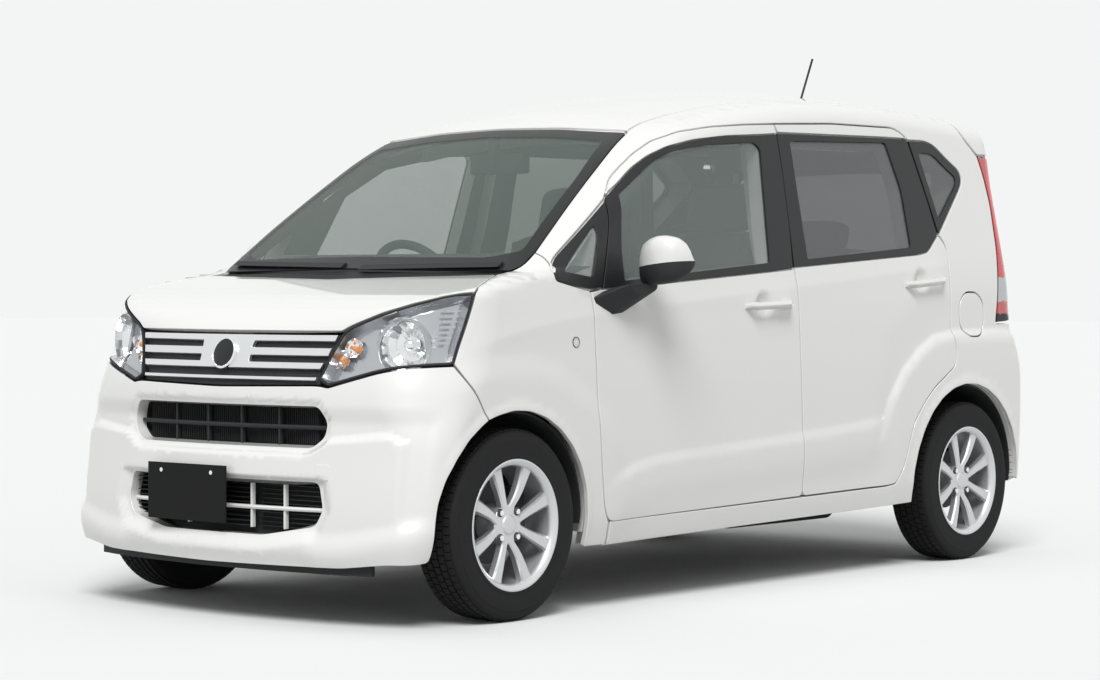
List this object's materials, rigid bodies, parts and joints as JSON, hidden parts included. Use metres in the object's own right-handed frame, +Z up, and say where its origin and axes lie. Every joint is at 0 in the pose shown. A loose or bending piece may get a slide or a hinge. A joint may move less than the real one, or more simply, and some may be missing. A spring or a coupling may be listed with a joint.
{
  "type": "kei car",
  "caption": "Tall five-door kei hatchback with hinged doors, tailgate, bonnet and fuel flap, steered front wheels and a hollow cabin with seats.",
  "frame": {"origin": "on the ground below the middle of the car's length, on its centre plane", "axes": "+X forward, +Y to the car's left, +Z up"},
  "size_m": [3.395, 1.83, 1.7997],
  "materials": {
    "body_paint": "gloss",
    "glass_clear": "gloss",
    "black_plastic": "satin",
    "lamp_lens": "gloss",
    "tail_red": "gloss",
    "grille_silver": "satin",
    "tyre_rubber": "matte",
    "alloy": "satin",
    "chassis_steel": "matte",
    "seat_fabric": "matte",
    "cast": "matte",
    "bare_alloy": "matte",
    "exhaust_steel": "satin",
    "mirror_glass": "gloss",
    "plate": "satin"
  },
  "bodies": {
    "body": {"antenna": "black_plastic", "body_side_left": "body_paint", "body_side_right": "body_paint", "cowl": "black_plastic", "dashboard": "black_plastic", "engine": "bare_alloy", "exhaust": "exhaust_steel", "fenders": "body_paint", "fixed_side_glass": "glass_clear", "floor_pan": "chassis_steel", "front_bumper": "body_paint", "front_subframe": "chassis_steel", "fuel_tank": "black_plastic", "headlamps": "lamp_lens", "intake_grilles": "black_plastic", "interior_mirror": "mirror_glass", "number_plate": "plate", "radiator": "bare_alloy", "rear_axle": "chassis_steel", "rear_bumper": "body_paint", "rear_panel": "chassis_steel", "roof": "body_paint", "seats": "seat_fabric", "tail_lamps": "tail_red", "upper_grille": "grille_silver", "wheel_liners": "black_plastic", "windscreen": "glass_clear", "wipers": "black_plastic"},
    "front_door_l": {"front_door_left": "body_paint", "front_door_glass_left": "glass_clear", "door_mirror_left": "body_paint"},
    "front_door_r": {"front_door_right": "body_paint", "front_door_glass_right": "glass_clear", "door_mirror_right": "body_paint"},
    "rear_door_l": {"rear_door_left": "body_paint", "rear_door_glass_left": "glass_clear"},
    "rear_door_r": {"rear_door_right": "body_paint", "rear_door_glass_right": "glass_clear"},
    "tailgate": {"tailgate": "body_paint", "tailgate_glass": "glass_clear"},
    "bonnet": {"bonnet": "body_paint"},
    "fuel_flap": {"fuel_flap": "body_paint"},
    "steering_wheel": {"steering_wheel": "black_plastic"},
    "knuckle_l": {"knuckle_left": "cast"},
    "knuckle_r": {"knuckle_right": "cast"},
    "front_wheel_l": {"front_wheel_left": "alloy", "front_tyre_left": "tyre_rubber"},
    "front_wheel_r": {"front_wheel_right": "alloy", "front_tyre_right": "tyre_rubber"},
    "rear_wheel_l": {"rear_wheel_left": "alloy", "rear_tyre_left": "tyre_rubber"},
    "rear_wheel_r": {"rear_wheel_right": "alloy", "rear_tyre_right": "tyre_rubber"}
  },
  "joints": [
    {"name": "front_door_left_hinge", "type": "hinge", "parent": "body", "child": "front_door_l", "pos_m": [0.829, 0.7385, 0.7], "axis": [0, 0, -1], "range_deg": [0, 65]},
    {"name": "front_door_right_hinge", "type": "hinge", "parent": "body", "child": "front_door_r", "pos_m": [0.829, -0.7385, 0.7], "axis": [0, 0, 1], "range_deg": [0, 65]},
    {"name": "rear_door_left_hinge", "type": "hinge", "parent": "body", "child": "rear_door_l", "pos_m": [-0.235, 0.7385, 0.7], "axis": [0, 0, -1], "range_deg": [0, 65]},
    {"name": "rear_door_right_hinge", "type": "hinge", "parent": "body", "child": "rear_door_r", "pos_m": [-0.235, -0.7385, 0.7], "axis": [0, 0, 1], "range_deg": [0, 65]},
    {"name": "tailgate_hinge", "type": "hinge", "parent": "body", "child": "tailgate", "pos_m": [-1.3945, 0, 1.617], "axis": [0, 1, 0], "range_deg": [0, 80]},
    {"name": "bonnet_hinge", "type": "hinge", "parent": "body", "child": "bonnet", "pos_m": [1.1055, 0, 0.996], "axis": [0, -1, 0], "range_deg": [0, 55]},
    {"name": "fuel_flap_hinge", "type": "hinge", "parent": "body", "child": "fuel_flap", "pos_m": [-1.218, 0.735, 0.861], "axis": [0, 0, -1], "range_deg": [0, 95]},
    {"name": "steering_wheel_turn", "type": "hinge", "parent": "body", "child": "steering_wheel", "pos_m": [0.425, -0.33, 0.945], "axis": [-0.8829, 0, 0.4695], "range_deg": [-540, 540]},
    {"name": "steer_left", "type": "hinge", "parent": "body", "child": "knuckle_l", "pos_m": [1.1725, 0.62, 0.17], "axis": [0, -0.1668, 0.986], "range_deg": [-33.75, 33.75]},
    {"name": "steer_right", "type": "hinge", "parent": "body", "child": "knuckle_r", "pos_m": [1.1725, -0.62, 0.17], "axis": [0, 0.1668, 0.986], "range_deg": [-33.75, 33.75]},
    {"name": "front_wheel_left_spin", "type": "hinge", "parent": "knuckle_l", "child": "front_wheel_l", "pos_m": [1.1725, 0.6525, 0.277], "axis": [0, 1, 0], "continuous": true},
    {"name": "front_wheel_right_spin", "type": "hinge", "parent": "knuckle_r", "child": "front_wheel_r", "pos_m": [1.1725, -0.6525, 0.277], "axis": [0, 1, 0], "continuous": true},
    {"name": "rear_wheel_left_spin", "type": "hinge", "parent": "body", "child": "rear_wheel_l", "pos_m": [-1.2825, 0.6475, 0.277], "axis": [0, 1, 0], "continuous": true},
    {"name": "rear_wheel_right_spin", "type": "hinge", "parent": "body", "child": "rear_wheel_r", "pos_m": [-1.2825, -0.6475, 0.277], "axis": [0, 1, 0], "continuous": true}
  ],
  "couplings": [
    {"joint": "steer_left", "follows": "steering_wheel_turn", "ratio": 0.0625},
    {"joint": "steer_right", "follows": "steering_wheel_turn", "ratio": 0.0625}
  ]
}
